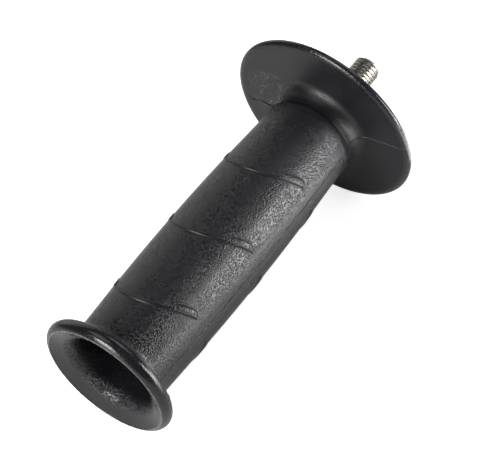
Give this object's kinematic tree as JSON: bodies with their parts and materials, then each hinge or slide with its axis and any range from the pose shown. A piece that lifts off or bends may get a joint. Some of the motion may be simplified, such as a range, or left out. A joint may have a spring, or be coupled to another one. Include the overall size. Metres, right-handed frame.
{
  "type": "angle grinder side handle",
  "caption": "Hollow moulded grip with a round hand guard and flared mouth, and a threaded steel stud that screws into a power tool.",
  "frame": {"origin": "centre of the seat face on the front boss, on the stud's axis", "axes": "+X along the stud, out of the seat; the grip lies along -X; Z is the mould's opening direction, square to its parting plane"},
  "size_m": [0.159, 0.073, 0.073],
  "materials": {
    "black_plastic": "spark-eroded grain on the barrel, satin on the hand guard and lip",
    "zinc_steel": "zinc plated"
  },
  "bodies": {
    "root": {"grip": "black_plastic", "stud_bolt": "zinc_steel"}
  },
  "joints": []
}
